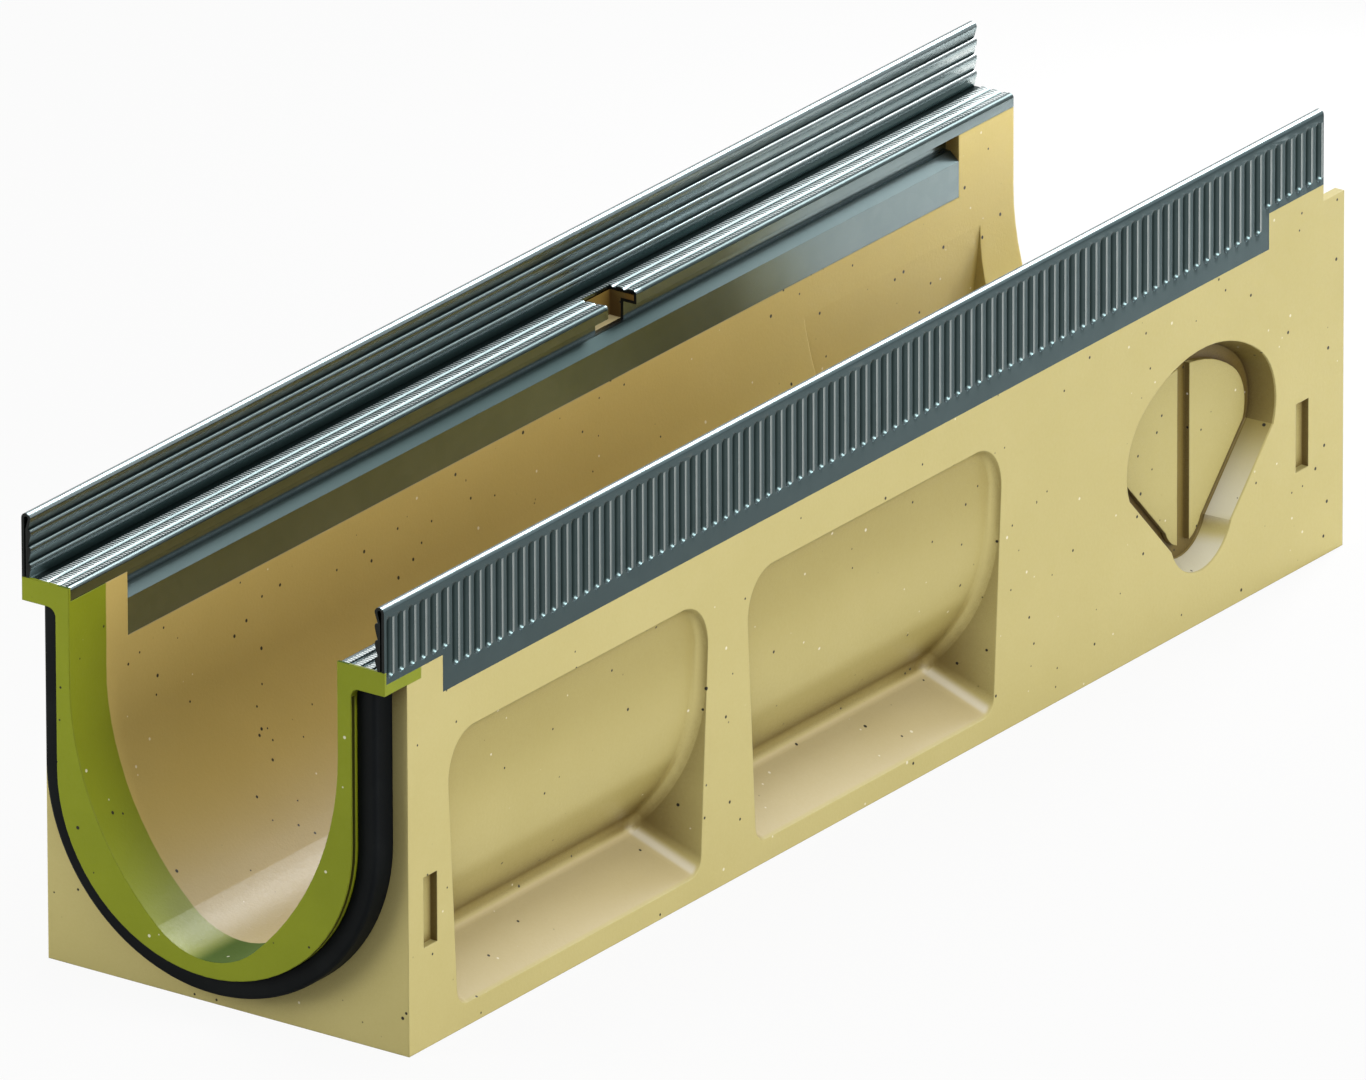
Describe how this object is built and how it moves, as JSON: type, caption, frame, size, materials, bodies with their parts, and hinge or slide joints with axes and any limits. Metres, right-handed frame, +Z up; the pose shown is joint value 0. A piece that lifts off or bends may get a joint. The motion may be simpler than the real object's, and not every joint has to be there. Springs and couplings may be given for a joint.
{
  "type": "channel drain",
  "caption": "Open drainage channel in polymer concrete with a rounded invert, tongue and socket ends, a rubber end seal and galvanised edge rails that seat a grating.",
  "frame": {"origin": "under the middle of the channel, on the ground that it stands on", "axes": "+X across the channel, +Y along the flow from the tongue and seal to the socket, +Z up"},
  "size_m": [0.135, 0.5116, 0.15],
  "materials": {
    "concrete": "fine matt cast",
    "galvanised": "galvanised",
    "seal_rubber": "matt"
  },
  "bodies": {
    "root": {"channel_body": "concrete", "edge_rail_left": "galvanised", "edge_rail_right": "galvanised", "end_seal": "seal_rubber"}
  },
  "joints": []
}
